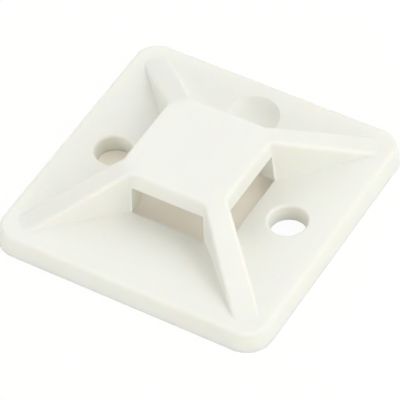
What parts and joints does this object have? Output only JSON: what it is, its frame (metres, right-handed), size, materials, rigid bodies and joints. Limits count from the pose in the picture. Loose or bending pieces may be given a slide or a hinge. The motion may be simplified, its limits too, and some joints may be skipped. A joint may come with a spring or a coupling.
{
  "type": "cable tie mount",
  "caption": "Square moulded cable tie mount with a raised bridge open on all sides, diagonal ribs, dished panels, screw holes and a flat underside.",
  "frame": {"origin": "centre of the flat underside of the base plate", "axes": "+Z out of the plate, up through the bridge; X through both screw holes; +Y towards the round dimple"},
  "size_m": [0.028, 0.028, 0.0066],
  "materials": {
    "natural_nylon": "satin"
  },
  "bodies": {
    "root": {"mount_body": "natural_nylon"}
  },
  "joints": []
}
